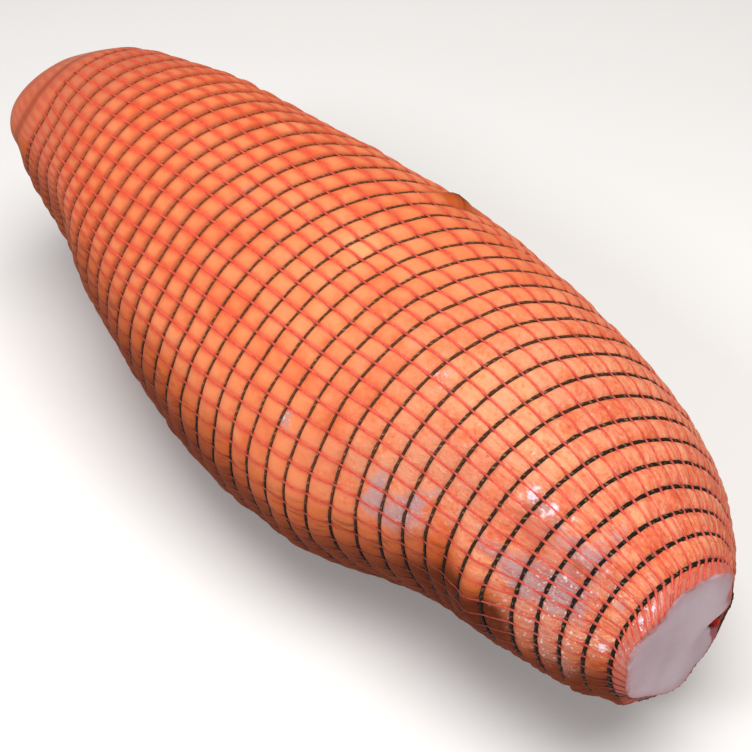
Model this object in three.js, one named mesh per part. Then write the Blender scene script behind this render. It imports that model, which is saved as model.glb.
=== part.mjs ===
// A netted turkey roll: one spindle of turkey under its seasoned skin, cut flat at the front end,
// held in an elastic net of hoops joined by lengthwise threads.
// Millimetres. +X runs along the roll towards the cut end, +Z is up, z = 0 is the table.
// The -Y side is the side that was looked at. Angles go round the roll in degrees:
// 0 on the -Y side, 90 on top, 180 on the +Y side, -90 underneath.
import * as THREE from 'three';

// ---- driving dimensions ----
const hoopCount = 36;          // hoops of the net; hoop 0 is at the round rear end
const stationEvery = 5;        // hoops between two stations of the roll
const capHoops = 3.3;          // length of the round rear end, in hoop spacings
const capPower = 2.2;          // above 2 the rear end is blunter than an ellipse
const capRings = [-3.1, -2.6, -1.9, -1.2, -0.5];
const faceRings = [1, 0.8, 0.4];
const rimAt = 36.2;            // the cut rim, in hoop spacings
const marginAt = 35.55;        // the gathered skin between the last hoop and the rim
const bulge = 1.2;             // how far the meat swells out between two hoops
const grooveDepth = 1.9;       // how far a hoop's groove lies under the hoop's own line
const lastGrooveDepth = 3.0;   // the last hoop cuts in deeper, where the end is drawn together
const hoopHeight = 1.8;        // a hoop's section, measured outwards
const hoopWidth = 1.2;         // a hoop's section, measured along the roll
const threadHeight = 0.8;      // a lengthwise thread's section, measured outwards
const netGap = 0.35;           // clearance between a thread and the meat under it
const hoopClearance = 0.7;     // how high the hoops stay above the table
const restingGaps = { first: 14, last: 18 };            // gaps between hoops that touch the table
const crestHalf = { resting: 0.14, elsewhere: 0.04 };   // half a crest strip, in hoop spacings
const crestDrop = 0.1;         // a crest strip lies this much lower than a plain crest
const underside = { angle: -90, reach: 20 };            // the degrees that touch the table
const threadCount = 6;         // lengthwise threads
const threadAngle = 1.4;       // degrees that a thread takes up
const columnsBetween = 3;      // mesh columns between two threads
const lastHoop = hoopCount - 1;

// The roll's middle line, its radius, and how far the hoops' planes lean:
// up is the forward shift for each millimetre of height, side for each millimetre towards +Y.
const stations = [
  { x: -159.0, y: -14.6, z: 94.1, r: 40.1, up: 0.195, side: -0.152 },
  { x: -104.1, y: -10.2, z: 88.8, r: 55.1, up: 0.171, side: -0.059 },
  { x: -49.7, y: -6.1, z: 79.5, r: 66.4, up: 0.096, side: -0.005 },
  { x: 3.3, y: -0.6, z: 71.9, r: 73.8, up: 0.050, side: 0.050 },
  { x: 53.9, y: 2.4, z: 72.2, r: 71.2, up: -0.016, side: 0.076 },
  { x: 102.0, y: 8.3, z: 76.4, r: 59.8, up: -0.092, side: 0.131 },
  { x: 147.5, y: 9.2, z: 76.4, r: 49.2, up: -0.083, side: 0.170 },
  { x: 189.6, y: 3.0, z: 82.2, r: 30.8, up: -0.099, side: 0.144 },
];

// Swellings and hollows of the meat: place by hoop and angle, reach in hoops and degrees.
const lumps = [
  { hoop: 22.5, angle: -8, hoops: 2.2, degrees: 24, rise: 2.4, forward: 0 },
  { hoop: 24.0, angle: -34, hoops: 3.2, degrees: 22, rise: -1.4, forward: 0 },
  { hoop: 29.6, angle: 4, hoops: 0.9, degrees: 22, rise: 4.0, forward: 0 },
  { hoop: 30.0, angle: -34, hoops: 3.0, degrees: 22, rise: -2.0, forward: 0 },
  { hoop: 26.9, angle: -10, hoops: 1.0, degrees: 24, rise: -1.5, forward: 0 },
  { hoop: 37.5, angle: 165, hoops: 3.4, degrees: 60, rise: -12.7, forward: -5.2 },
  { hoop: 36.7, angle: 231, hoops: 2.8, degrees: 39, rise: -6.4, forward: -3.8 },
  { hoop: 32.0, angle: 158, hoops: 3.6, degrees: 45, rise: -4.6, forward: 0 },
  { hoop: 32.8, angle: -42, hoops: 3.0, degrees: 34, rise: 4.1, forward: 0 },
  { hoop: 3.6, angle: -6, hoops: 1.6, degrees: 20, rise: -4.7, forward: 0 },
  { hoop: -1.8, angle: 105, hoops: 1.7, degrees: 55, rise: -4.4, forward: 0 },
];

// The rear end's blunt tip and the fold beside it.
const rearHeart = new THREE.Vector3(-150, -11, 92);
const rearLumps = [
  { at: new THREE.Vector3(-173, -41.9, 100.6), reach: 17, rise: 6.7 },
  { at: new THREE.Vector3(-166.5, -49.8, 92.4), reach: 6, rise: -2.9 },
];

// The cut rim: its middle, its lean, and its radius at every 30 degrees from angle 0.
const rim = { x: 194.5, y: -5.2, z: 83.8, up: -0.07, side: 0.10 };
const rimRadii = [23, 25.3, 24, 29.3, 30, 21.5, 14.5, 16.5, 18, 24, 22, 23.8];
const faceSwell = 1.0;         // how far the cut face bulges forward of its rim
const creaseAngle = 178;       // the fold that runs into the cut face from the far side
const creaseDepth = 2.4;
const creaseDegrees = 16;

// ---- the roll's surface ----
const middleLine = new THREE.CatmullRomCurve3(
  stations.map((s) => new THREE.Vector3(s.x, s.y, s.z)), false, 'catmullrom');
const girthLine = new THREE.CatmullRomCurve3(
  stations.map((s) => new THREE.Vector3(s.r, s.up, s.side)), false, 'catmullrom');

function along(curve, hoop) {
  const share = THREE.MathUtils.clamp(hoop / lastHoop, 0, 1);
  const point = curve.getPoint(share);
  if (hoop < 0) {
    // the rear end runs straight on from the first hoop
    const ahead = new THREE.Vector3().subVectors(curve.points[1], curve.points[0]);
    point.addScaledVector(ahead, hoop / stationEvery);
  }
  return point;
}

function bell(distance) {
  return Math.exp(-distance * distance);
}

function turnBetween(a, b) {
  return THREE.MathUtils.euclideanModulo(a - b + 180, 360) - 180;
}

function rimRadius(angle) {
  const step = 360 / rimRadii.length;
  const place = THREE.MathUtils.euclideanModulo(angle, 360) / step;
  const first = Math.floor(place);
  const share = THREE.MathUtils.smootherstep(place - first, 0, 1);
  const a = rimRadii[first % rimRadii.length];
  const b = rimRadii[(first + 1) % rimRadii.length];
  return a + (b - a) * share;
}

function rimPoint(angle, scale, forward) {
  const turn = THREE.MathUtils.degToRad(angle);
  const radius = rimRadius(angle) * scale;
  const y = -radius * Math.cos(turn);
  const z = radius * Math.sin(turn);
  return new THREE.Vector3(rim.x + rim.up * z + rim.side * y + forward, rim.y + y, rim.z + z);
}

// The lowest height that a point may have, so that the roll rests on a flat spot
// and the net passes above the table in its grooves.
function lowest(lift) {
  return lift > hoopHeight / 2 ? 0 : hoopClearance + hoopHeight / 2 - lift;
}

// A point at a hoop place and an angle, lifted off the hoops' own line.
function rollPoint(hoop, angle, lift) {
  const middle = along(middleLine, hoop);
  const girth = along(girthLine, hoop);
  const near = Math.min(hoop, lastHoop);
  let radius = girth.x + lift;
  let forward = 0;
  for (const lump of lumps) {
    const reach = bell((near - lump.hoop) / lump.hoops)
      * bell(turnBetween(angle, lump.angle) / lump.degrees);
    radius += lump.rise * reach;
    forward += lump.forward * reach;
  }
  if (hoop < 0) {
    radius *= Math.sqrt(1 - Math.pow(Math.min(-hoop / capHoops, 1), capPower));
  }
  const turn = THREE.MathUtils.degToRad(angle);
  const y = -radius * Math.cos(turn);
  const z = radius * Math.sin(turn);
  const point = new THREE.Vector3(
    middle.x + girth.y * z + girth.z * y + forward, middle.y + y, middle.z + z);
  if (hoop > lastHoop) {
    point.lerp(rimPoint(angle, 1, 0), (hoop - lastHoop) / (rimAt - lastHoop));
  }
  for (const lump of rearLumps) {
    const outward = new THREE.Vector3().subVectors(point, rearHeart).normalize();
    point.addScaledVector(outward, lump.rise * bell(point.distanceTo(lump.at) / lump.reach));
  }
  point.z = Math.max(point.z, lowest(lift));
  return point;
}

// ---- the mesh columns round the roll, two close together for each thread ----
const columns = [];
for (let thread = 0; thread < threadCount; thread += 1) {
  const start = thread * 360 / threadCount + threadAngle / 2;
  const step = (360 / threadCount - threadAngle) / columnsBetween;
  for (let column = 0; column <= columnsBetween; column += 1) {
    columns.push(start + column * step);
  }
}
const columnCount = columns.length;
const perThread = columnsBetween + 1;

function isThreadCell(column) {
  return column % perThread === columnsBetween;
}

// A list of points and triangles that becomes one closed mesh.
class Shell {
  constructor() {
    this.positions = [];
    this.indices = [];
  }

  point(vector) {
    this.positions.push(vector.x, vector.y, vector.z);
    return this.positions.length / 3 - 1;
  }

  ring(makePoint) {
    return columns.map((angle) => this.point(makePoint(angle)));
  }

  quad(a, b, c, d) {
    this.indices.push(a, b, c, a, c, d);
  }

  // joins two rings, the first one further back
  band(back, front) {
    for (let column = 0; column < back.length; column += 1) {
      const next = (column + 1) % back.length;
      this.quad(back[next], back[column], front[column], front[next]);
    }
  }

  // closes a ring to one point; towards the front or the rear
  fan(ring, tip, facesFront) {
    for (let column = 0; column < ring.length; column += 1) {
      const next = (column + 1) % ring.length;
      if (facesFront) {
        this.indices.push(ring[next], ring[column], tip);
      } else {
        this.indices.push(ring[column], ring[next], tip);
      }
    }
  }

  geometry() {
    const geometry = new THREE.BufferGeometry();
    geometry.setAttribute('position', new THREE.Float32BufferAttribute(this.positions, 3));
    geometry.setIndex(this.indices);
    geometry.computeVertexNormals();
    return geometry;
  }
}

// ---- the meat under its skin ----
// A crest between two hoops is a narrow strip, and a wide one where it rests on the table.
function crestPoint(hoop, side, angle) {
  const resting = Math.abs(turnBetween(angle, underside.angle)) < underside.reach;
  const half = resting ? crestHalf.resting : crestHalf.elsewhere;
  return rollPoint(hoop + 0.5 + side * half, angle, bulge - crestDrop);
}

function facePoint(angle, scale) {
  const fold = creaseDepth * bell(turnBetween(angle, creaseAngle) / creaseDegrees) * scale;
  return rimPoint(angle, scale, faceSwell * (1 - scale * scale) - fold);
}

function turkeyRoll() {
  const shell = new Shell();
  const rearTip = shell.point(rollPoint(-capHoops, 0, 0));
  const rings = capRings.map((hoop) => shell.ring((angle) => rollPoint(hoop, angle, bulge)));
  for (let hoop = 0; hoop < hoopCount; hoop += 1) {
    const depth = hoop === lastHoop ? lastGrooveDepth : grooveDepth;
    rings.push(shell.ring((angle) => rollPoint(hoop, angle, -depth)));
    if (hoop === lastHoop) {
      continue;
    }
    if (hoop >= restingGaps.first && hoop <= restingGaps.last) {
      rings.push(shell.ring((angle) => crestPoint(hoop, -1, angle)));
      rings.push(shell.ring((angle) => crestPoint(hoop, 1, angle)));
    } else {
      rings.push(shell.ring((angle) => rollPoint(hoop + 0.5, angle, bulge)));
    }
  }
  rings.push(shell.ring((angle) => rollPoint(marginAt, angle, 0)));
  for (const scale of faceRings) {
    rings.push(shell.ring((angle) => facePoint(angle, scale)));
  }
  const faceMiddle = shell.point(facePoint(0, 0));
  shell.fan(rings[0], rearTip, false);
  for (let row = 0; row + 1 < rings.length; row += 1) {
    shell.band(rings[row], rings[row + 1]);
  }
  shell.fan(rings[rings.length - 1], faceMiddle, true);
  return shell.geometry();
}

// ---- the net: hoops in their grooves, joined by threads that ride over the crests ----
function hoopRings(shell, hoop) {
  const spacing = along(middleLine, hoop + 0.5).x - along(middleLine, hoop - 0.5).x;
  const half = hoopWidth / 2 / Math.abs(spacing);
  const at = (side, lift) => shell.ring((angle) => rollPoint(
    THREE.MathUtils.clamp(hoop + side * half, 0, lastHoop), angle, lift));
  return {
    innerBack: at(-1, -hoopHeight / 2),
    innerFront: at(1, -hoopHeight / 2),
    outerFront: at(1, hoopHeight / 2),
    outerBack: at(-1, hoopHeight / 2),
  };
}

function net() {
  const shell = new Shell();
  const hoops = [];
  for (let hoop = 0; hoop < hoopCount; hoop += 1) {
    hoops.push(hoopRings(shell, hoop));
  }
  hoops.forEach((rings, hoop) => {
    shell.band(rings.outerBack, rings.outerFront);
    shell.band(rings.innerFront, rings.innerBack);
    for (let column = 0; column < columnCount; column += 1) {
      const next = (column + 1) % columnCount;
      const joined = isThreadCell(column);
      if (!joined || hoop === lastHoop) {
        shell.quad(rings.outerFront[next], rings.outerFront[column],
          rings.innerFront[column], rings.innerFront[next]);
      }
      if (!joined || hoop === 0) {
        shell.quad(rings.innerBack[next], rings.innerBack[column],
          rings.outerBack[column], rings.outerBack[next]);
      }
      if (joined && hoop < lastHoop) {
        thread(shell, rings, hoops[hoop + 1], hoop, column, next);
      }
    }
  });
  return shell.geometry();
}

// One thread from a hoop's front to the next hoop's back, over the crest between them.
function thread(shell, behind, ahead, hoop, column, next) {
  const crest = (index, lift) => shell.point(rollPoint(hoop + 0.5, columns[index], lift));
  const under = bulge + netGap;
  const over = under + threadHeight;
  const sections = [
    [behind.innerFront[column], behind.innerFront[next],
      behind.outerFront[next], behind.outerFront[column]],
    [crest(column, under), crest(next, under), crest(next, over), crest(column, over)],
    [ahead.innerBack[column], ahead.innerBack[next],
      ahead.outerBack[next], ahead.outerBack[column]],
  ];
  for (let part = 0; part < 2; part += 1) {
    const back = sections[part];
    const front = sections[part + 1];
    for (let edge = 0; edge < 4; edge += 1) {
      const turn = (edge + 1) % 4;
      shell.quad(back[edge], back[turn], front[turn], front[edge]);
    }
  }
}

// ---- materials ----
function skinMaterial() {
  return new THREE.MeshStandardMaterial({ color: 0xd9794f, roughness: 0.45, metalness: 0 });
}

function netMaterial() {
  return new THREE.MeshStandardMaterial({ color: 0x2a211c, roughness: 0.8, metalness: 0 });
}

// ---- assembly ----
const group = new THREE.Group();

const roll = new THREE.Mesh(turkeyRoll(), skinMaterial());
roll.name = 'turkey_roll';
group.add(roll);

const netting = new THREE.Mesh(net(), netMaterial());
netting.name = 'net';
group.add(netting);

export default group;
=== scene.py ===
import math
import bmesh
import bpy
import numpy as np
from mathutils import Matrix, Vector, noise


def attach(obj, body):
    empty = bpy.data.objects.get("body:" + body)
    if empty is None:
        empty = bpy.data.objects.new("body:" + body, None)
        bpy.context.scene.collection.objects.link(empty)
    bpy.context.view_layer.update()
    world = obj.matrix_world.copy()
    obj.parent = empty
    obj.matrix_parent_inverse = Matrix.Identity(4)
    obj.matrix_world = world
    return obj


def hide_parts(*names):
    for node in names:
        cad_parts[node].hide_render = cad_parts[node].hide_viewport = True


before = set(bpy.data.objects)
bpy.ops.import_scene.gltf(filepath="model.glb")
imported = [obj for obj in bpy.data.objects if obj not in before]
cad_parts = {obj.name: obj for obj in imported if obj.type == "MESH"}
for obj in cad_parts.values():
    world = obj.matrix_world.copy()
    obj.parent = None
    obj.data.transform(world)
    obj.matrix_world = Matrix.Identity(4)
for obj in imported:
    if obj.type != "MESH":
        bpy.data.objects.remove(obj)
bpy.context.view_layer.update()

print("frame loaded:", sorted(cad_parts))

# Shapes are worked out in millimetres, as the model is, and made in metres.
# A place on the net is a hoop number, running from the rear end to the cut end, and a thread number.
millimetre = 0.001
underneath = -90            # angles run from 0 on the near side up to 90 on top

view = {
    "lens": 68.04,                              # on a 36 mm sensor
    "place": (0.3421, -0.2441, 0.4707),
    "towards": (-0.55919, 0.43103, -0.70818),   # 45 degrees down
}

roll = {
    "hoops": 36,
    "stationEvery": 5,      # hoops between two stations
    # middle x, y, z; radius; how far it leans forward for each mm up and for each mm to the far side
    "stations": [
        (-159.0, -14.6, 94.1, 40.1, 0.195, -0.152),
        (-104.1, -10.2, 88.8, 55.1, 0.171, -0.059),
        (-49.7, -6.1, 79.5, 66.4, 0.096, -0.005),
        (3.3, -0.6, 71.9, 73.8, 0.050, 0.050),
        (53.9, 2.4, 72.2, 71.2, -0.016, 0.076),
        (102.0, 8.3, 76.4, 59.8, -0.092, 0.131),
        (147.5, 9.2, 76.4, 49.2, -0.083, 0.170),
        (189.6, 3.0, 82.2, 30.8, -0.099, 0.144),
    ],
    "lumps": [              # hoop, angle, reach in hoops and degrees, rise, forward
        (22.5, -8, 2.2, 24, 2.4, 0),
        (24.0, -34, 3.2, 22, -1.4, 0),
        (29.6, 4, 0.9, 22, 4.0, 0),
        (30.0, -34, 3.0, 22, -2.0, 0),
        (26.9, -10, 1.0, 24, -1.5, 0),
        (37.5, 165, 3.4, 60, -12.7, -5.2),
        (36.7, 231, 2.8, 39, -6.4, -3.8),
        (32.0, 158, 3.6, 45, -4.6, 0),
        (32.8, -42, 3.0, 34, 4.1, 0),
        (3.6, -6, 1.6, 20, -4.7, 0),
        (-1.8, 105, 1.7, 55, -4.4, 0),
    ],
    "rearHeart": (-150, -11, 92),
    "rearLumps": [((-173, -41.9, 100.6), 17, 6.7), ((-166.5, -49.8, 92.4), 6, -2.9)],   # place, reach, rise
    "cap": 3.3,             # length of the round rear end, in hoop spacings
    "capPower": 2.2,
    "rimAt": 36.2,
    "rim": (194.5, -5.2, 83.8, -0.07, 0.10),    # x, y, z and the same two leans
    "rimRadii": [23, 25.3, 24, 29.3, 30, 21.5, 14.5, 16.5, 18, 24, 22, 23.8],   # every 30 degrees
    "clearance": 0.7,       # the hoops' height above the table
    "crest": 1.1,           # lift of a crest that rests on the table
    "hoopHalf": 0.9,
    "deepest": 4,           # nothing lies further in than this
    "restReach": 26,        # degrees from underneath over which it rests
}
lastHoop = roll["hoops"] - 1

net = {
    "threads": 56,
    "firstThread": -17,     # thread 0 lies at firstAngle, and the seam runs underneath
    "firstAngle": 16.2,
    "drift": [              # where the threads wander: hoop, angle, reach in hoops and degrees, turn
        (18, 100, 22, 49, 12.8),
        (16, 88, 8, 21, -9.7),
        (8, 34, 3, 17, -2.7),
        (26, 21, 13, 32, 13.4),
        (27, 12, 6, 38, -11.7),
        (2, 45, 6, 41, -13.7),
    ],
    "sway": [               # where the hoops wander: hoop, angle, reach in hoops and degrees, shift
        (14, 180, 16, 66, 0.85),
        (0, 32, 16, 19, 0.4),
        (5, 22, 5, 16, -0.3),
        (37, -60, 13, 80, 0.23),
    ],
}


# the roll's surface
def bell(distance):
    return np.exp(-np.square(distance))


def turnBetween(a, b):
    return (a - b + 180) % 360 - 180


def ramp(value, low, high):
    share = np.clip((value - low) / (high - low), 0, 1)
    return share * share * (3 - 2 * share)


def stationAt(hoop):
    # passes smoothly through the stations, and runs straight on behind the first hoop
    known = np.array(roll["stations"])
    known = np.vstack([2 * known[0] - known[1], known, 2 * known[-1] - known[-2]])
    place = np.clip(hoop / roll["stationEvery"], 0, len(known) - 3 - 1e-9)
    first = np.floor(place).astype(int)
    s = (place - first)[..., None]
    a, b, c, d = known[first], known[first + 1], known[first + 2], known[first + 3]
    found = (2 * b + (c - a) * s + (2 * a - 5 * b + 4 * c - d) * s ** 2
             + (3 * b - a - 3 * c + d) * s ** 3) / 2
    behind = np.minimum(hoop, 0)[..., None] / roll["stationEvery"]
    return found + (known[2] - known[1]) * behind


def rimPoints(angle, scale, forward):
    x, y, z, up, side = roll["rim"]
    step = 360 / len(roll["rimRadii"])
    place = (angle % 360) / step
    first = np.floor(place).astype(int)
    s = place - first
    s = s ** 3 * (s * (s * 6 - 15) + 10)
    radii = np.array(roll["rimRadii"])
    radius = (radii[first % len(radii)] * (1 - s) + radii[(first + 1) % len(radii)] * s) * scale
    across = -radius * np.cos(np.radians(angle))
    height = radius * np.sin(np.radians(angle))
    return np.stack([x + up * height + side * across + forward, y + across, z + height], -1)


def rollPoints(hoop, angle, lift):
    hoop, angle, lift = np.broadcast_arrays(
        np.asarray(hoop, float), np.asarray(angle, float), np.asarray(lift, float))
    x, y, z, radius, up, side = np.moveaxis(stationAt(hoop), -1, 0)
    radius = radius + lift
    forward = np.zeros_like(radius)
    near = np.minimum(hoop, lastHoop)
    for atHoop, atAngle, hoops, degrees, rise, push in roll["lumps"]:
        reach = bell((near - atHoop) / hoops) * bell(turnBetween(angle, atAngle) / degrees)
        radius = radius + rise * reach
        forward = forward + push * reach
    radius = radius * np.sqrt(1 - np.clip(-hoop / roll["cap"], 0, 1) ** roll["capPower"])
    across = -radius * np.cos(np.radians(angle))
    height = radius * np.sin(np.radians(angle))
    points = np.stack([x + up * height + side * across + forward, y + across, z + height], -1)
    margin = np.clip((hoop - lastHoop) / (roll["rimAt"] - lastHoop), 0, 1)[..., None]
    points = points * (1 - margin) + rimPoints(angle, 1, 0) * margin
    for place, reach, rise in roll["rearLumps"]:
        outward = points - np.array(roll["rearHeart"])
        outward = outward / np.linalg.norm(outward, axis=-1, keepdims=True)
        distance = np.linalg.norm(points - np.array(place), axis=-1, keepdims=True)
        points = points + outward * rise * bell(distance / reach)
    deepest = roll["deepest"]
    top = roll["clearance"] + roll["hoopHalf"]
    floorAt = np.interp(lift, [-deepest, roll["hoopHalf"], roll["crest"]],
                        [top + deepest, roll["clearance"], 0])
    points[..., 2] = np.maximum(points[..., 2], floorAt)
    return points


# the net's own lines on it
def threadAngle(place, thread):
    base = net["firstAngle"] + 360 / net["threads"] * thread
    angle = base + 0.0 * place
    for hoop, middle, hoops, degrees, turn in net["drift"]:
        angle = angle + turn * bell((place - hoop) / hoops) * bell((base - middle) / degrees)
    return angle


def hoopPlace(place, angle):
    shift = 0.0 * place
    for hoop, middle, hoops, degrees, move in net["sway"]:
        shift = shift + move * bell((place - hoop) / hoops) * bell(turnBetween(angle, middle) / degrees)
    return place + shift * ramp(place, -roll["cap"], 1) * (1 - ramp(place, lastHoop - 2, lastHoop))


def unevenness(points, size, seed):
    offset = Vector((seed * 7.31, seed * 3.17, seed * 5.53))
    flat = points.reshape(-1, 3) / size
    found = [noise.noise(Vector(spot) + offset) for spot in flat]
    return np.array(found).reshape(points.shape[:-1])


swell = {
    "rise": 1.0,
    "size": 26,
    "fine": 0.45,
    "fineSize": 11,
    "flatReach": 32,        # degrees from underneath over which it is smoothed out
    "flatEnd": (34.5, 35.2),
    "sag": 1.2,             # how much it stands out low on the near side, towards the cut end
    "sagAngle": -38,
    "sagReach": 34,
    "sagStart": (18, 30),
    "sagEnd": (33.5, 35),
    "lowCrest": 0.5,        # how much further it swells out between two hoops low on the near side
    "lowAngle": -50,
    "lowReach": 44,
}


def restingAt(angle):
    return bell(turnBetween(angle, underneath) / roll["restReach"])


def lowAt(angle):
    # low on the near side, but not where it rests
    return bell(turnBetween(angle, swell["lowAngle"]) / swell["lowReach"]) * (1 - restingAt(angle))


def swellAt(place, thread):
    # the meat's own unevenness, which the net follows
    angle = threadAngle(place, thread)
    points = rollPoints(hoopPlace(place, angle), angle, 0)
    rise = swell["rise"] * unevenness(points, swell["size"], 1)
    rise = rise + swell["fine"] * unevenness(points, swell["fineSize"], 2)
    rise = rise * (1 - bell(turnBetween(angle, underneath) / swell["flatReach"]))
    rise = rise * (1 - ramp(place, *swell["flatEnd"]))
    sag = bell(turnBetween(angle, swell["sagAngle"]) / swell["sagReach"])
    sag = sag * ramp(place, *swell["sagStart"]) * (1 - ramp(place, *swell["sagEnd"]))
    return rise + swell["sag"] * sag


def netPoints(place, thread, lift):
    angle = threadAngle(place, thread)
    return rollPoints(hoopPlace(place, angle), angle, lift)


undersideShade = {                # painted shade under the roll, in browns; its edge climbs towards the rear
    "hoops": [0, 8, 14, 18, 21, 25, 28, 30, 31.5, 33, 35],
    "edge": [104, 106, 106, 99, 93, 94, 107, 97, 84, 88, 95],   # degrees from underneath
    "inside": 22,           # the painted shade is full this many degrees within its edge
    "outside": 13,          # and gone this many beyond it
}


def duskAt(place, angle):
    # how much painted shade lies here: full underneath, gone above its edge
    edge = np.interp(place, undersideShade["hoops"], undersideShade["edge"])
    away = np.abs(turnBetween(angle, underneath))
    return 1 - ramp(away, edge - undersideShade["inside"], edge + undersideShade["outside"])


# shader maths
class Signal:
    # a socket that takes part in sums
    def __init__(self, recipe, socket):
        self.recipe = recipe
        self.socket = socket

    def __add__(self, other):
        return self.recipe.maths("ADD", self, other)

    def __radd__(self, other):
        return self.recipe.maths("ADD", other, self)

    def __sub__(self, other):
        return self.recipe.maths("SUBTRACT", self, other)

    def __rsub__(self, other):
        return self.recipe.maths("SUBTRACT", other, self)

    def __mul__(self, other):
        return self.recipe.maths("MULTIPLY", self, other)

    def __rmul__(self, other):
        return self.recipe.maths("MULTIPLY", other, self)


class Recipe:
    # a material and the nodes that it is made of
    def __init__(self, name):
        self.material = bpy.data.materials.new(name)
        self.material.use_nodes = True
        self.tree = self.material.node_tree
        self.tree.nodes.clear()

    def node(self, kind, settings, values):
        made = self.tree.nodes.new("ShaderNode" + kind)
        for name, value in settings.items():
            setattr(made, name, value)
        for name, value in values.items():
            if isinstance(value, Signal):
                self.tree.links.new(value.socket, made.inputs[name])
            else:
                made.inputs[name].default_value = value
        return made

    def maths(self, operation, *values):
        made = self.node("Math", {"operation": operation}, dict(enumerate(values)))
        return Signal(self, made.outputs[0])

    def mix(self, share, a, b):
        made = self.node("Mix", {"data_type": "RGBA"}, {0: share, 6: a, 7: b})
        return Signal(self, made.outputs[2])

    def over(self, colour, share, paint):
        # a paint is red, green, blue and how much of it shows
        return self.mix(share * paint[3], colour, tint(*paint[:3]))

    def ramp(self, value, low, high):
        made = self.node("MapRange", {"interpolation_type": "SMOOTHSTEP"}, {0: value, 1: low, 2: high})
        return Signal(self, made.outputs[0])

    def attribute(self, name):
        return Signal(self, self.node("Attribute", {"attribute_name": name}, {}).outputs["Fac"])

    def coordinates(self, kind):
        return Signal(self, self.node("TexCoord", {}, {}).outputs[kind])

    def split(self, vector):
        made = self.node("SeparateXYZ", {}, {0: vector})
        return [Signal(self, made.outputs[axis]) for axis in range(3)]

    def join(self, x, y, z):
        return Signal(self, self.node("CombineXYZ", {}, {0: x, 1: y, 2: z}).outputs[0])

    def scaled(self, vector, amount):
        made = self.node("VectorMath", {"operation": "MULTIPLY"}, {0: vector, 1: amount})
        return Signal(self, made.outputs[0])

    def noise(self, vector, scale, detail, roughness=0.5):
        made = self.node("TexNoise", {}, {
            "Vector": vector, "Scale": scale, "Detail": detail, "Roughness": roughness})
        return Signal(self, made.outputs[0])

    def bump(self, height, distance, strength):
        made = self.node("Bump", {}, {"Height": height, "Distance": distance, "Strength": strength})
        return Signal(self, made.outputs[0])

    def finish(self, values):
        shader = self.node("BsdfPrincipled", {}, values)
        self.node("OutputMaterial", {}, {"Surface": Signal(self, shader.outputs[0])})
        return self.material


def tint(red, green, blue):
    # a colour as a screen shows it, turned into the light that it stands for
    levels = np.array([red, green, blue]) / 255
    light = np.where(levels <= 0.04045, levels / 12.92, ((levels + 0.055) / 1.055) ** 2.4)
    return [*light.tolist(), 1]


# meshes
def gridVerts(shape, across, up):
    # a flat grid, and where each of its points lies in it, counted in x and in y
    made = bmesh.ops.create_grid(shape, x_segments=across, y_segments=up, size=0.5, calc_uvs=True)["verts"]
    flat = np.array([vert.co[:2] for vert in made]) + 0.5
    return made, np.rint(flat[:, 0] * across).astype(int), np.rint(flat[:, 1] * up).astype(int)


def placeVerts(verts, points):
    for vert, point in zip(verts, points * millimetre):
        vert.co = point


def closeUp(shape):
    bmesh.ops.remove_doubles(shape, verts=shape.verts, dist=0.00001)
    bmesh.ops.dissolve_degenerate(shape, edges=shape.edges, dist=0.000001)
    bmesh.ops.recalc_face_normals(shape, faces=shape.faces)


def makePiece(name, shape, material, slot, *nodes):
    mesh = bpy.data.meshes.new(name)
    shape.to_mesh(mesh)
    shape.free()
    mesh.polygons.foreach_set("use_smooth", [True] * len(mesh.polygons))
    mesh.materials.append(material)
    piece = bpy.data.objects.new(name, mesh)
    bpy.context.scene.collection.objects.link(piece)
    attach(piece, "root")
    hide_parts(*nodes)
    print(name, "made:", sum(len(face.vertices) - 2 for face in mesh.polygons), "triangles")
    return piece


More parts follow.
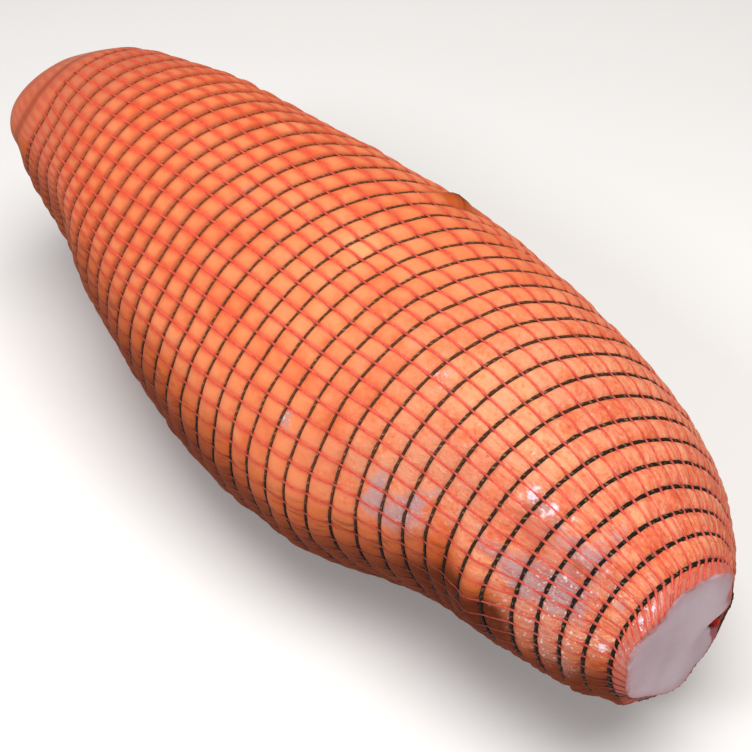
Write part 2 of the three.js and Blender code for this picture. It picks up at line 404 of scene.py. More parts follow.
# the turkey under its skin
skin = {
    "patches": ["lilac", "wet", "shine", "cream", "muted", "amber"],
    "shades": ["dusk", "blush", "fold", "rimRed"],
    "perThread": 4,         # mesh columns from one thread to the next
    "perHoop": 10,          # mesh rows from one hoop to the next
    "faceRows": 16,
    "groove": -0.7,         # lift under a hoop
    "crest": 1.05,          # lift halfway between two hoops
    "roundness": 3.0,
    "lowRoundness": 2.3,    # the same, low on the near side
    "threadPress": 0.22,    # how deep a thread presses in
    "cellDifference": 0.5,
    "pleats": 0.2,          # lengthwise ribs towards the cut end
    "pleatStart": (26, 34),
    "rearRise": 0.9,        # lift behind the first hoop
    "marginRise": 0.6,
    "marginPleats": 0.4,
    "marks": [              # small forms: place, angle, reach in hoops and degrees, rise
        (15.4, 127, 0.5, 7, 3.0),
        (35.1, -46, 0.4, 8, 3.4),
        (35.95, -34, 0.4, 7, -4.5),
        (33.6, -28, 0.6, 14, 1.0),
        (35.4, 203, 1.0, 16, -3.0),
    ],
    "faceSwell": 1.0,
    "faceRoll": 0.2,        # how far the rim is rounded back
    "faceRough": 0.5,
    "faceRoughSize": 9,
    "creases": [(1.3, 13), (1.2, 5)],   # depth, and reach in degrees: a broad dip and the fold in it
    "creaseAngle": 178,
    "creaseTurn": -26,      # the crease bends as it runs in
    "nick": 0.15,           # how far the rim is drawn in beside the crease, as a share of its radius
    "nickAngle": 195,
    "nickReach": 12,
    "rimReds": [(-150, 70, 1.0), (175, 40, 0.7)],   # redder parts of the rim: angle, reach, strength
    "capDusk": 0.25,        # how brown the rear end is
    "capEdge": (-3.2, -1.6),
    "blushEnd": (-1.5, 7),
    "lilac": [              # bluish patches: place, angle, reach in hoops and degrees, strength
        (25.7, 12, 1.1, 9, 1.0),
        (26.3, 22, 0.6, 5, 0.8),
        (24.6, 24, 0.5, 6, 0.6),
        (31.2, 19, 1.0, 9, 0.9),
        (32.6, 30, 1.0, 13, 1.0),
        (33.0, 46, 0.6, 8, 0.6),
        (32.6, 67, 0.6, 6, 0.6),
        (30.4, 52, 1.0, 6, 0.5),
        (34.4, 66, 0.4, 7, 0.5),
        (33.3, -13, 0.8, 10, 0.6),
        (20.3, 28, 0.4, 4, 0.6),
        (24.3, 62, 0.5, 4, 0.6),
        (7.1, 40, 0.4, 5, 0.5),
        (10.2, 27, 0.5, 4, 0.6),
        (12.0, 74, 0.4, 4, 0.5),
        (31.6, 47, 0.9, 7, 0.6),
        (30.5, 26, 0.9, 7, 0.6),
        (33.2, 22, 0.6, 8, 0.6),
        (32.9, 56, 0.5, 8, 0.6),
        (29.5, 26, 0.6, 5, 0.5),
        (31.8, 31, 0.9, 7, 0.5),
        (27.4, 30, 1.3, 8, 0.4),
        (24.5, 14, 0.9, 6, 0.6),
        (34.5, 42, 0.4, 6, 0.5),
        (31.0, -10, 0.6, 5, 0.5),
    ],
    "flushed": [            # redder patches
        (30.4, 43, 1.0, 6, 0.7),
        (32.7, 41, 0.5, 5, 1.0),
        (31.2, 36, 0.8, 5, 0.5),
        (33.6, 47, 0.6, 8, 0.6),
        (28.4, 39, 1.6, 5, 0.4),
        (33.4, 2, 0.5, 5, 0.5),
        (34.4, 0, 0.5, 7, 0.7),
        (22.0, 56, 1.5, 4, 0.3),
        (30.8, 46, 0.8, 6, 0.4),
        (31.6, 30, 1.0, 8, 0.3),
    ],
    "wet": [
        (30.1, 52, 1.0, 6, 0.9),
        (31.9, 26, 1.3, 10, 0.7),
        (33.6, 32, 1.6, 30, 0.7),
        (34.6, 13, 0.6, 7, 0.9),
        (26.0, 18, 1.2, 9, 0.6),
        (20.2, 29, 0.5, 4, 0.7),
        (24.4, 62, 0.6, 5, 0.6),
        (35.7, 45, 0.8, 40, 0.9),
        (31.6, 4, 1.6, 16, 0.6),
        (33.2, -6, 1.2, 14, 0.6),
        (32.8, 22, 1.2, 14, 0.4),
    ],
    "shine": [              # where the wet skin glints, painted highlights
        (29.68, 53, 0.24, 4.2, 1.1),
        (30.58, 53, 0.2, 4, 1.0),
        (30.2, 47, 0.3, 2, 0.7),
        (31.3, 56, 0.16, 2, 0.8),
        (34.62, 12, 0.24, 4, 1.1),
        (34.3, 43, 0.2, 3, 0.8),
        (35.6, 45, 0.25, 4, 1.0),
        (35.7, 57, 0.2, 3, 0.8),
        (32.3, 24, 0.16, 2, 0.7),
        (33.4, 33, 0.2, 3, 0.7),
        (20.2, 29, 0.14, 2, 1.0),
        (24.3, 63, 0.3, 2, 0.7),
        (28.7, 64, 0.14, 2, 0.7),
        (25.3, 26, 0.3, 2, 0.7),
        (26.1, 16, 0.2, 3, 0.6),
        (23.0, 0, 0.14, 2, 0.8),
    ],
    "cream": [
        (26.6, 69, 1.6, 12, 0.9),
        (29.6, 70, 1.4, 8, 0.6),
        (32.6, 78, 0.5, 6, 1.0),
        (9.4, 106, 1.4, 8, 0.8),
        (17.4, 81, 0.7, 5, 0.7),
        (20.0, 60, 3.0, 18, 0.5),
        (24.6, 30, 0.5, 4, 0.7),
        (18.2, 14, 0.7, 4, 0.6),
        (34.6, 13, 0.5, 6, 0.7),
        (31.3, 0, 0.5, 4, 0.9),
        (32.4, 3, 0.45, 4, 0.9),
        (25.4, 74, 2.6, 9, 0.5),
        (29.8, 20, 0.6, 6, 0.8),
        (30.8, 12, 0.8, 8, 0.5),
        (15.5, 84, 3.0, 14, 0.4),
        (28.5, 60, 2.5, 12, 0.4),
    ],
    "muted": [
        (26.5, 40, 3.2, 15, 0.8),
        (30.5, 8, 2.6, 12, 0.6),
        (32.8, -8, 1.6, 14, 0.7),
        (24.0, 24, 1.6, 9, 0.6),
        (21.5, 22, 1.4, 8, 0.4),
    ],
    "amber": [
        (27.7, 10, 1.0, 7, 1.0),
        (27.7, 22, 0.9, 4, 0.6),
        (29.6, 42, 1.3, 7, 0.5),
        (28.6, 33, 0.8, 5, 0.4),
        (27.9, -2, 1.0, 8, 0.8),
        (23.0, 48, 0.6, 5, 0.4),
    ],
    # darker spots for the painted shade mask: a brown mark on top, a darker red spot, and painted shadow in
    # the hollows low on the near side towards the cut end
    "brown": [
        (15.4, 127, 0.6, 8, 0.9),
        (28.2, -15, 1.3, 10, 0.8),
        (30.3, 2, 0.6, 8, 0.55),
        (28.8, 6, 0.8, 7, 0.4),
        (32.7, 42, 0.5, 4, 0.3),
        (30.6, -4, 1.2, 9, 0.25),
        (29.2, -8, 1.4, 8, 0.3),
    ],
}
marginEnd = 36.4            # the place where the margin's mesh meets the cut face
faceEnd = 38.0


def spots(found, place, angle):
    total = np.zeros_like(place)
    for atPlace, atAngle, hoops, degrees, strength in found:
        near = bell((place - atPlace) / hoops) * bell(turnBetween(angle, atAngle) / degrees)
        total = total + strength * near
    return total


def drawn(place, thread):
    # every cell of the net has its own settled draw, from -0.5 to 0.5
    cell = np.floor(place) * 12.9898 + np.floor(thread) * 78.233
    return (np.sin(cell) * 43758.5453) % 1 - 0.5


def skinLift(place, thread, angle, rise):
    fromHoop = np.abs(place - np.rint(place))           # 0.5 halfway between two hoops
    fromThread = np.abs(thread - np.rint(thread)) * 2   # 1 halfway between two threads
    low = lowAt(angle)
    pillow = 1 - (1 - 2 * fromHoop) ** (skin["roundness"] * (1 - low) + skin["lowRoundness"] * low)
    different = drawn(place, thread) * ramp(fromHoop, 0, 0.3) * ramp(fromThread, 0, 0.5)
    crest = skin["crest"] + swell["lowCrest"] * low + skin["cellDifference"] * different
    groove = skin["groove"]
    lift = groove + (crest - groove) * pillow
    lift = lift - skin["threadPress"] * (1 - fromThread) ** 2 * ramp(fromHoop, 0, 0.2)
    pleats = np.cos(4 * math.pi * thread) * pillow
    lift = lift + skin["pleats"] * ramp(place, *skin["pleatStart"]) * pleats
    # the rear end has no hoops, and the margin is gathered
    lift = np.where(place < 0, groove + (skin["rearRise"] - groove) * ramp(-place, 0, 0.5), lift)
    beyond = np.clip((place - lastHoop) / (marginEnd - lastHoop), 0, 1)
    bulge = np.sin(math.pi * beyond)
    gathered = groove * (1 - ramp(beyond, 0, 0.3)) + skin["marginRise"] * bulge
    gathered = gathered - skin["marginPleats"] * np.cos(2 * math.pi * thread) * bulge ** 0.7
    lift = np.where(place > lastHoop, gathered, lift)
    lift = lift + spots(skin["marks"], place, angle) + rise
    resting = restingAt(angle)
    return lift * (1 - resting) + resting * np.minimum(lift, roll["crest"] + 0.4)


def fromCrease(scale, angle):
    return turnBetween(angle, skin["creaseAngle"] + skin["creaseTurn"] * (1 - scale))


def facePoints(scale, angle):
    # scale runs from 0 in the middle of the cut face to 1 at its rim
    crease = fromCrease(scale, angle)
    depth = sum(deep * bell(crease / reach) for deep, reach in skin["creases"]) * ramp(scale, 0.3, 0.9)
    nick = skin["nick"] * bell(turnBetween(angle, skin["nickAngle"]) / skin["nickReach"])
    rolledBack = skin["faceRoll"] * np.clip((scale - 0.9) / 0.1, 0, 1) ** 2
    forward = skin["faceSwell"] * (1 - scale ** 2) - rolledBack - depth
    points = rimPoints(angle, scale * (1 - nick * scale), forward)
    rough = unevenness(points, skin["faceRoughSize"], 3) * ramp(1 - scale, 0, 0.2)
    points[..., 0] += skin["faceRough"] * rough
    return points


skinPaints = {              # red, green, blue and how much shows
    "bright": (242, 152, 102, 0.5),
    "spice": (208, 84, 48, 0.5),
    "cream": (246, 172, 118, 0.6),
    "pale": (232, 158, 126, 0.6),
    "muted": (208, 138, 108, 0.7),
    "amber": (216, 88, 30, 0.85),
    "lilac": (172, 144, 148, 0.85),
    "rear": (206, 92, 54, 0.25),
    "threadStain": (217, 82, 58, 1),
    # partly paler fat, partly painted highlight
    "pillow": (244, 148, 98, 0.4),
    "paleGrain": (248, 186, 156, 0.4),
    "darkGrain": (184, 74, 52, 0.45),
    # painted shade in the rib valleys, reddish
    "ribs": (200, 72, 54, 0.6),
    "blush": (180, 96, 77, 0.55),
    # painted shade: under the roll, in the grooves beside the hoops and in the rib valleys
    "dusk": (187, 86, 30, 0.8),
    "deepShade": (90, 33, 8, 0.97),
    "grooveShade": (150, 68, 40, 1),
    "ribShade": (74, 27, 14, 0.6),
    "margin": (188, 102, 90, 0.75),
    # partly the threads' red, partly painted shade in the pleats' valleys
    "marginPleats": (168, 56, 48, 0.7),
    # painted highlights on the wet skin
    "paintedGlints": (240, 222, 226, 0.7),
    "shine": (238, 222, 236, 0.8),
}

cutPaints = {
    "nearRim": (190, 138, 142, 0.5),
    "redRim": (150, 58, 62, 0.8),
    # painted shade in the crease, near black deep in it
    "crease": (98, 50, 52, 1),
    "deepCrease": (44, 18, 16, 1),
    "redCrease": (186, 26, 20, 1),
}


def cutOver(mat, colour, cut, where, place, ragged):
    # the flesh of the cut end, its redder rim, and painted shade in the crease, with red spots in it
    bands = mat.noise(mat.scaled(where, (10.0, 55.0, 26.0)), 1.0, 2.0)
    flesh = mat.mix(mat.ramp(bands, 0.35, 0.65), tint(181, 160, 169), tint(197, 178, 186))
    flesh = mat.over(flesh, mat.ramp(place + ragged * 0.5, 36.8, 36.4), cutPaints["nearRim"])
    redRim = mat.ramp(place + ragged * 0.3, 36.56, 36.36) * mat.attribute("rimRed")
    flesh = mat.over(flesh, redRim, cutPaints["redRim"])
    colour = mat.mix(cut, colour, flesh)
    fold = mat.attribute("fold")
    # painted shade along the crease
    colour = mat.over(colour, mat.ramp(fold + ragged * 0.3, 0.25, 0.8), cutPaints["crease"])
    colour = mat.over(colour, mat.ramp(fold + ragged * 0.9, 0.7, 1.0), cutPaints["deepCrease"])
    return mat.over(colour, mat.ramp(fold - ragged * 1.6, 0.8, 1.1), cutPaints["redCrease"])


def skinMaterial():
    mat = Recipe("seasonedSkin")
    paints = skinPaints
    where = mat.coordinates("Object")
    u, v, _ = mat.split(mat.coordinates("UV"))
    place = v * (faceEnd + roll["cap"]) - roll["cap"]
    thread = u * net["threads"]
    acrossCell = mat.maths("ABSOLUTE", mat.maths("FRACT", thread) - 0.5) * 2    # 1 at a thread
    alongCell = mat.maths("ABSOLUTE", mat.maths("FRACT", place) - 0.5) * 2      # 1 at a hoop
    onBody = mat.ramp(place, 35.3, 35.0)
    behind = mat.ramp(place, 20.0, 8.0)
    front = mat.ramp(place, 19.0, 28.0)
    middle = mat.ramp(place, 30.0, 14.0)
    netted = mat.ramp(place, -2.6, -0.8)
    stainFrom = 0.66 - middle * 0.22 - behind * 0.08
    stainTo = 0.94 - middle * 0.04 - behind * 0.1
    nearThread = mat.ramp(acrossCell, stainFrom, stainTo) * netted
    # where painted shade lies in the grooves beside the hoops
    nearHoop = mat.ramp(alongCell, 0.7 - behind * 0.25, 1.0 - behind * 0.08) * onBody * netted
    ribs = mat.noise(mat.join(thread * 3.0, place * 0.7, 0.0), 1.0, 3.0, 0.6)
    broad = mat.noise(where, 38.0, 2.0)
    mottle = mat.noise(where, 120.0, 3.0, 0.6)
    grain = mat.noise(where, 520.0, 3.0, 0.65)
    speck = mat.noise(where, 1500.0, 2.0, 0.6)
    ragged = (mottle - 0.5) * 1.1 + (grain - 0.5) * 0.5     # makes the edges of patches uneven

    # the seasoning and its patches
    colour = mat.mix(mat.ramp(broad, 0.34, 0.66), tint(217, 104, 60), tint(229, 130, 84))
    colour = mat.over(colour, mat.ramp(mottle, 0.42, 0.74), paints["bright"])
    colour = mat.over(colour, mat.ramp(mottle, 0.46, 0.22), paints["spice"])
    colour = mat.over(colour, mat.ramp(mat.attribute("cream") + ragged * 0.5, 0.2, 0.9), paints["cream"])
    colour = mat.over(colour, front * mat.ramp(ragged, -0.35, 0.2), paints["pale"])
    colour = mat.over(colour, mat.ramp(mat.attribute("muted") + ragged * 0.6, 0.15, 0.95), paints["muted"])
    colour = mat.over(colour, mat.ramp(mat.attribute("amber") + ragged * 0.5, 0.25, 0.8), paints["amber"])
    colour = mat.over(colour, mat.ramp(mat.attribute("lilac") + ragged * 1.8, 0.3, 1.0), paints["lilac"])
    colour = mat.over(colour, behind, paints["rear"])
    # what the net does to it, with painted highlight on the middle of each cell and painted shade in the
    # ribs
    colour = mat.over(colour, nearThread * (0.56 + middle * 0.12), paints["threadStain"])
    # lighter middle of each cell: partly paler fat under the skin, partly painted highlight on its crest
    heart = mat.ramp(acrossCell, 0.7, 0.1) * mat.ramp(alongCell, 0.7, 0.1)
    colour = mat.over(colour, heart * middle, paints["pillow"])
    colour = mat.over(colour, front * mat.ramp(grain, 0.55, 0.72), paints["paleGrain"])
    colour = mat.over(colour, front * mat.ramp(grain, 0.46, 0.3), paints["darkGrain"])
    # reddish painted shade in the valleys of the lengthwise ribs towards the cut end
    colour = mat.over(colour, mat.ramp(ribs, 0.56, 0.36) * mat.ramp(place, 24.0, 32.0), paints["ribs"])
    colour = mat.over(colour, mat.ramp(mat.attribute("blush") + ragged * 0.5, 0.0, 0.9), paints["blush"])
    # painted shade: under the roll, brown to near black, in the grooves beside the hoops and in the rib
    # valleys
    dusk = mat.attribute("dusk")
    deepShade = mat.ramp(dusk, 0.4, 1.15) * (0.5 + mat.ramp(place, 2.0, 14.0) * 0.5)
    colour = mat.over(colour, mat.ramp(dusk + ragged * 0.3, 0.0, 0.5), paints["dusk"])
    colour = mat.over(colour, deepShade, paints["deepShade"])
    # painted shade in the grooves beside the hoops
    colour = mat.over(colour, nearHoop * (0.4 + behind * 0.3) * (1 - deepShade), paints["grooveShade"])
    # darker painted shade in the rib valleys under the roll
    ribShade = mat.ramp(ribs, 0.5, 0.3) * mat.ramp(dusk, 0.1, 0.6) * netted
    colour = mat.over(colour, ribShade, paints["ribShade"])
    # the gathered margin and the cut end
    inMargin = mat.ramp(place + ragged * 0.9, 35.0, 35.7)
    colour = mat.over(colour, inMargin, paints["margin"])
    # the pleats' valleys by the threads: partly the threads' red, partly painted shade
    colour = mat.over(colour, inMargin * mat.ramp(acrossCell, 0.35, 0.95), paints["marginPleats"])
    cut = mat.ramp(place + ragged * 0.4 + mat.attribute("rimRed") * 0.25, 36.32, 36.54)
    colour = cutOver(mat, colour, cut, where, place, ragged)
    # the wet places, with painted highlights where they glint
    glaze = mat.ramp(mat.attribute("wet") + ragged * 0.8, 0.2, 0.9) * (1 - cut)
    # painted highlights: small near-white specks on the wet skin
    paintedGlints = mat.ramp(mat.noise(where, 700.0, 1.0), 0.62, 0.71) * glaze
    colour = mat.over(colour, paintedGlints, paints["paintedGlints"])
    # painted highlights where the wet skin glints
    shine = mat.ramp(mat.attribute("shine") + (grain - 0.5) * 1.8, 0.45, 1.0)
    colour = mat.over(colour, shine, paints["shine"])

    relief = mottle * 0.5 + ribs * mat.ramp(place, 18.0, 34.0) * 1.2 + speck * glaze * 0.9
    relief = relief + grain * (0.4 + front * 0.9)
    return mat.finish({
        "Base Color": colour,
        "Roughness": 0.5 - glaze * 0.2 + (grain - 0.5) * 0.25 + deepShade * 0.35,
        "Normal": mat.bump(relief * (1 - cut * 0.85), 0.0007, 0.8),
        "Coat Weight": mat.maths("MAXIMUM", glaze * 0.6, shine),
        "Coat Roughness": 0.18,
        "Subsurface Weight": 0.12,
        "Subsurface Radius": (1.0, 0.35, 0.2),
        "Subsurface Scale": 0.002,
        "IOR": 1.37,
        "Specular IOR Level": 0.15,
    })


def skinMasks(place, angle, scale):
    masks = {name: spots(skin[name], place, angle) for name in skin["patches"]}
    # the painted shade under the roll, with a fixed share of the same brown over the rear end, and the
    # darker spots
    brown = (duskAt(place, angle) - skin["capDusk"]) * ramp(place, *skin["capEdge"])
    masks["dusk"] = skin["capDusk"] + brown + spots(skin["brown"], place, angle)
    masks["blush"] = 1 - ramp(place, *skin["blushEnd"]) + spots(skin["flushed"], place, angle)
    # where the crease's painted shade and its red spots lie
    fold = bell(fromCrease(scale, angle) / (5 + 6 * ramp(scale, 0.7, 1)))
    masks["fold"] = 1.15 * fold * ramp(scale, 0.55, 0.95) * ramp(place, 35.6, 36.1)
    red = sum(strength * bell(turnBetween(angle, at) / reach) for at, reach, strength in skin["rimReds"])
    masks["rimRed"] = np.clip(red, 0, 1)
    return masks


def turkeyRoll():
    rows = round((roll["cap"] + marginEnd) * skin["perHoop"]) + skin["faceRows"]
    columns = net["threads"] * skin["perThread"]
    shape = bmesh.new()
    shape.loops.layers.uv.new("wrap")
    layers = {name: shape.verts.layers.float.new(name) for name in skin["patches"] + skin["shades"]}
    verts, column, row = gridVerts(shape, columns, rows)
    place = row / skin["perHoop"] - roll["cap"]
    thread = column / skin["perThread"] + net["firstThread"]
    angle = threadAngle(place, thread)
    rise = swellAt(place, thread)
    # the body and its margin, up to the rim
    hoop = hoopPlace(place, angle)
    inMargin = lastHoop + (place - lastHoop) * (roll["rimAt"] - lastHoop) / (marginEnd - lastHoop)
    hoop = np.where(place > lastHoop, np.minimum(inMargin, roll["rimAt"]), hoop)
    points = rollPoints(hoop, angle, skinLift(place, thread, angle, rise))
    # the cut face, which runs in from the rim
    scale = np.clip((faceEnd - place) / (faceEnd - marginEnd), 0, 1)
    onFace = place >= marginEnd - 0.000001
    points = np.where(onFace[..., None], facePoints(scale, angle), points)
    placeVerts(verts, points)
    masks = skinMasks(place, angle, scale)
    for name, layer in layers.items():
        for vert, value in zip(verts, masks[name]):
            vert[layer] = value
    closeUp(shape)
    return makePiece("turkeySkin", shape, skinMaterial(), "turkey_skin", "turkey_roll")


# tubes for the net
def addTube(shape, place, thread, lift, halfWidth, halfHeight, sides, repeats):
    # place, thread and lift have one value for each row; the ends close where the half width is 0
    rows = len(place)
    uv = shape.loops.layers.uv.active
    before = len(shape.faces)
    middle = netPoints(place, thread, lift)
    out = netPoints(place, thread, lift + 1) - netPoints(place, thread, lift - 1)
    ahead = np.gradient(middle, axis=0)
    if np.allclose(middle[0], middle[-1], atol=0.01):
        ahead[0] = ahead[-1] = middle[1] - middle[-2]
    ahead = ahead / np.linalg.norm(ahead, axis=1, keepdims=True)
    aside = np.cross(ahead, out)
    aside = aside / np.linalg.norm(aside, axis=1, keepdims=True)
    out = np.cross(aside, ahead)
    verts, row, side = gridVerts(shape, rows - 1, sides)
    turn = (side % sides) * 2 * math.pi / sides
    across = aside[row] * (halfWidth[row] * np.cos(turn))[:, None]
    upward = out[row] * (halfHeight[row] * np.sin(turn))[:, None]
    placeVerts(verts, middle[row] + across + upward)
    shape.faces.ensure_lookup_table()
    for face in shape.faces[before:]:
        for loop in face.loops:
            loop[uv].uv.x *= repeats
    return verts, row


hoops = {
    "halfWidth": 0.74,
    "halfHeight": 0.62,
    "thin": [(0, 0.5), (12, 0.58), (22, 0.74), (28, 0.92), (35, 1.06)],     # it thins towards the rear
    "lift": -0.12,
    "lowLift": 0.35,        # how much higher it lies low on the near side
    "lowAngle": -42,
    "lowReach": 32,
    "lowEnd": (33, 35),
    "fuzz": 0.45,           # how much its width varies
    "fuzzSize": 2.0,
    "pinch": 0.3,           # how much a thread squeezes a hoop
    "pinchReach": 0.12,
    "perThread": 6,
    "sides": 8,
    "stitch": 2.6,          # length of one turn of the braid
    # the elastic's two yarns, at the cut end, further back and at the rear
    "dark": [(24, 15, 11), (92, 54, 34), (164, 82, 50)],
    "olive": [(128, 112, 84), (166, 118, 84), (190, 100, 64)],
    # painted shade: their colour under the roll
    "inShade": (24, 12, 8),
}


def hoopMaterial():
    mat = Recipe("braidedElastic")
    u, v, _ = mat.split(mat.coordinates("UV"))
    where = mat.coordinates("Object")
    along, _, _ = mat.split(where)
    strandA = mat.maths("SINE", (u + v) * (2 * math.pi))
    strandB = mat.maths("SINE", (u * 1.5 - v) * (2 * math.pi))
    braid = mat.maths("MAXIMUM", strandA, strandB)
    uneven = mat.noise(where, 700.0, 2.0, 0.6)
    fleck = mat.ramp(strandA * 0.5 + (uneven - 0.5) * 3.0, 0.3, 0.9)
    worn = mat.ramp(along, 0.17, 0.05)
    faint = mat.ramp(along, 0.03, -0.11)
    yarns = []
    for atCut, further, atRear in (hoops["dark"], hoops["olive"]):
        yarn = mat.mix(worn, tint(*atCut), tint(*further))
        yarns.append(mat.mix(faint, yarn, tint(*atRear)))
    colour = mat.mix(fleck * 0.7, *yarns)
    # painted shade: the hoops go near black under the roll, less so at the rear
    hoopShade = mat.ramp(mat.attribute("dusk"), 0.0, 0.6) * (0.9 - faint * 0.5)
    colour = mat.mix(hoopShade, colour, tint(*hoops["inShade"]))
    return mat.finish({
        "Base Color": colour,
        "Roughness": 0.7 - fleck * 0.25,
        "Normal": mat.bump(braid * 0.5 + uneven * 0.5, 0.0004, 0.9),
        "IOR": 1.45,
        "Specular IOR Level": 0.2,
    })


def netHoops():
    shape = bmesh.new()
    shape.loops.layers.uv.new("wrap")
    layer = shape.verts.layers.float.new("dusk")
    count = net["threads"] * hoops["perThread"]
    thread = np.arange(count + 1) / hoops["perThread"] + net["firstThread"]
    for hoop in range(roll["hoops"]):
        place = np.full(thread.shape, float(hoop))
        angle = threadAngle(place, thread)
        around = netPoints(place, thread, 0)
        length = np.linalg.norm(np.diff(around, axis=0), axis=1).sum()
        squeeze = 1 - hoops["pinch"] * bell((thread - np.rint(thread)) / hoops["pinchReach"])
        squeeze = squeeze + hoops["fuzz"] * unevenness(around, hoops["fuzzSize"], 5)
        squeeze = squeeze * np.interp(hoop, *np.transpose(hoops["thin"]))
        squeeze[-1] = squeeze[0]
        low = bell(turnBetween(angle, hoops["lowAngle"]) / hoops["lowReach"])
        low = low * (1 - ramp(hoop, *hoops["lowEnd"]))
        lift = swellAt(place, thread) + hoops["lift"] + hoops["lowLift"] * low
        verts, row = addTube(shape, place, thread, lift, hoops["halfWidth"] * squeeze,
                             hoops["halfHeight"] * squeeze, hoops["sides"], round(length / hoops["stitch"]))
        # how much painted shade darkens each point of the hoop
        for vert, value in zip(verts, duskAt(place, angle)[row]):
            vert[layer] = value
    closeUp(shape)
    return makePiece("netHoops", shape, hoopMaterial(), "elastic_net", "net")


threads = {
    "halfWidth": 0.4,
    "rear": 0.52,           # the half width behind
    "halfHeight": 0.13,
    "knot": 0.22,           # how much wider a thread is where it wraps a hoop near the cut end
    "knotReach": 0.09,
    "crestLift": 0.88,      # halfway between two hoops
    "hoopLift": 0.44,       # where it crosses a hoop
    "rearLower": 0.2,       # how much lower that is behind
    "sink": 1.2,            # how far its rear end goes in behind the first hoop
    "marginLift": 0.2,
    "steps": [0, 0.08, 0.16, 0.28, 0.5, 0.72, 0.84, 0.92],
    "behind": [-0.5, -0.42, -0.32, -0.24, -0.16, -0.08],
    "ahead": [35.0, 35.15, 35.35, 35.6, 35.85, 36.05, 36.16],
    "sides": 6,
    "length": 400,
    "twist": 1.4,           # length of one turn of its yarn
    # at the cut end and at the rear
    "deep": [(204, 74, 60), (214, 78, 52)],
    "light": [(224, 98, 80), (224, 92, 64)],
    "knotted": [(120, 60, 54), (180, 88, 62)],
    # painted shade: their colour under the roll
    "deepShade": (78, 30, 22),
}


def threadMaterial():
    mat = Recipe("redThread")
    u, v, _ = mat.split(mat.coordinates("UV"))
    where = mat.coordinates("Object")
    along, _, _ = mat.split(where)
    strand = mat.maths("SINE", (u + v * 2.0) * (2 * math.pi))
    uneven = mat.noise(where, 300.0, 3.0, 0.6)
    soft = mat.ramp(along, 0.12, -0.1)
    shades = []
    for atCut, atRear in (threads["deep"], threads["light"], threads["knotted"]):
        shades.append(mat.mix(soft, tint(*atCut), tint(*atRear)))
    deep, light, knotted = shades
    knot = mat.attribute("knot")
    colour = mat.mix(mat.ramp(uneven + strand * 0.06, 0.36, 0.62), deep, light)
    colour = mat.mix(knot * 0.55, colour, knotted)
    # painted shade: the threads go dark under the roll
    colour = mat.mix(mat.attribute("dusk") * 0.9, colour, tint(*threads["deepShade"]))
    return mat.finish({
        "Base Color": colour,
        "Roughness": 0.55 - knot * 0.12 + (uneven - 0.5) * 0.2,
        "Normal": mat.bump(strand * 0.3 + uneven, 0.0002, 0.5),
        "Subsurface Weight": 0.1,
        "Subsurface Radius": (1.0, 0.3, 0.2),
        "Subsurface Scale": 0.001,
        "IOR": 1.45,
        "Specular IOR Level": 0.15,
    })


def threadLift(place, angle, within):
    # over the hoops and down into the skin between them; its ends go in
    onTop = threads["hoopLift"] - threads["rearLower"] * (1 - ramp(place, 4, 24))
    crest = threads["crestLift"] + swell["lowCrest"] * lowAt(angle)
    lift = onTop + (crest - onTop) * ramp(within, 0.05, 0.4)
    return np.where(place < 0, onTop - threads["sink"] * ramp(-place, 0.08, 0.45), lift)


def netThreads():
    shape = bmesh.new()
    shape.loops.layers.uv.new("wrap")
    layers = {name: shape.verts.layers.float.new(name) for name in ("knot", "dusk")}
    gaps = [hoop + step for hoop in range(lastHoop) for step in threads["steps"]]
    place = np.array(threads["behind"] + gaps + threads["ahead"])
    within = np.abs(place - np.rint(place))
    onHoop = bell(within / threads["knotReach"]) * (place > -0.5) * (place < lastHoop + 0.4)
    # over the last hoop and in at the rim
    margin = threads["marginLift"] + 0.35 * bell((place - lastHoop) / 0.3)
    margin = margin - 0.4 * ramp(place, 35.6, 36.16)
    thin = np.ones(place.shape)
    thin[[0, -1]] = 0       # its ends close to a point
    wide = threads["rear"] + (threads["halfWidth"] - threads["rear"]) * ramp(place, 12, 30)
    halfWidth = (wide + threads["knot"] * onHoop * ramp(place, 27, 33)) * thin
    halfHeight = threads["halfHeight"] * thin
    for number in range(net["threads"]):
        thread = np.full(place.shape, float(number + net["firstThread"]))
        angle = threadAngle(place, thread)
        lift = threadLift(place, angle, within) + swellAt(place, thread)
        lift = np.where(place > lastHoop, margin, lift)
        verts, row = addTube(shape, place, thread, lift, halfWidth, halfHeight, threads["sides"],
                             round(threads["length"] / threads["twist"]))
        # how much painted shade darkens each point of the thread
        for vert, knot, brown in zip(verts, onHoop[row], duskAt(place, angle)[row]):
            vert[layers["knot"]] = knot
            vert[layers["dusk"]] = brown
    closeUp(shape)
    return makePiece("netThreads", shape, threadMaterial(), "elastic_net", "net")


# the room
floor = {
    "half": 4,
    "colours": [(236, 235, 233), (242, 241, 239)],
    "roughness": 0.7,
}


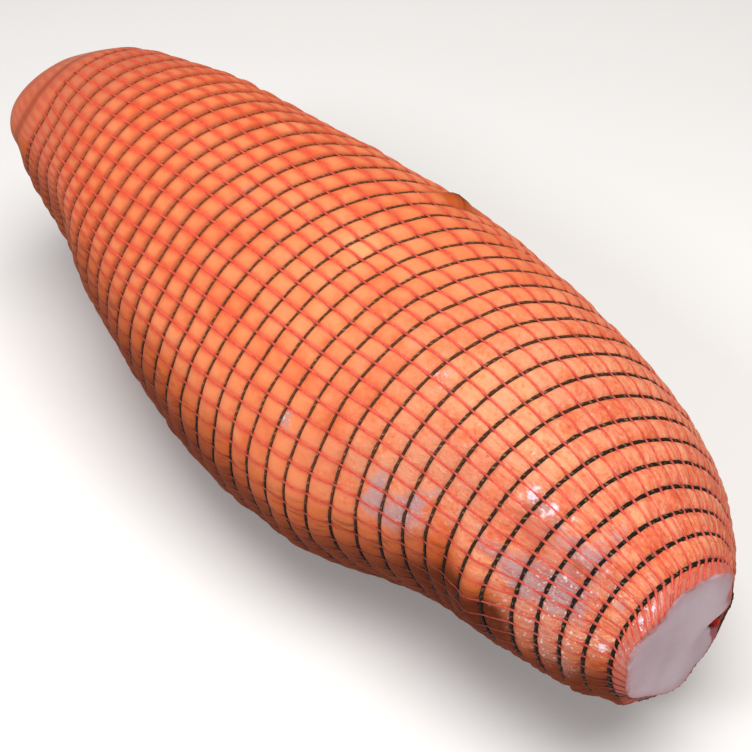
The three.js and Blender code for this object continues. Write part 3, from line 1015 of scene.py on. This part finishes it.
def floorMaterial():
    mat = Recipe("paleFloor")
    cloudy = mat.noise(mat.coordinates("Object"), 3.0, 2.0)
    return mat.finish({
        "Base Color": mat.mix(cloudy, *[tint(*colour) for colour in floor["colours"]]),
        "Roughness": floor["roughness"],
    })


def makeFloor():
    shape = bmesh.new()
    bmesh.ops.create_grid(shape, x_segments=1, y_segments=1, size=floor["half"])
    mesh = bpy.data.meshes.new("floor")
    shape.to_mesh(mesh)
    shape.free()
    mesh.materials.append(floorMaterial())
    ground = bpy.data.objects.new("floor", mesh)
    bpy.context.scene.collection.objects.link(ground)


lights = {                  # place, what it points at, side of the square, watts, colour
    "top": ((0.28, -0.08, 1.3), (0, 0, 0.05), 0.8, 17, (1, 0.98, 0.97)),
    "window": ((0.12, -0.85, 0.85), (0.08, 0, 0.08), 0.22, 4.5, (0.95, 0.96, 1)),
}

surroundings = {
    "colour": (250, 247, 243),
    "strength": 0.24,
}


def makeLights():
    for name, (place, target, side, watts, colour) in lights.items():
        lamp = bpy.data.lights.new(name, "AREA")
        lamp.size = side
        lamp.energy = watts
        lamp.color = colour
        holder = bpy.data.objects.new(name, lamp)
        holder.location = place
        holder.rotation_euler = (Vector(target) - Vector(place)).to_track_quat("-Z", "Y").to_euler()
        bpy.context.scene.collection.objects.link(holder)
    world = bpy.data.worlds.new("studio")
    world.use_nodes = True
    glow = world.node_tree.nodes["Background"]
    glow.inputs["Color"].default_value = tint(*surroundings["colour"])
    glow.inputs["Strength"].default_value = surroundings["strength"]
    bpy.context.scene.world = world


def makeCamera():
    camera = bpy.data.objects.new("camera", bpy.data.cameras.new("camera"))
    camera.data.lens = view["lens"]
    camera.data.sensor_width = 36
    camera.location = view["place"]
    camera.rotation_euler = Vector(view["towards"]).to_track_quat("-Z", "Y").to_euler()
    bpy.context.scene.collection.objects.link(camera)
    bpy.context.scene.camera = camera


makeCamera()
makeFloor()
makeLights()
bpy.context.scene.view_settings.view_transform = "Standard"
print("camera, floor and lights placed")
turkeyRoll()
netHoops()
netThreads()
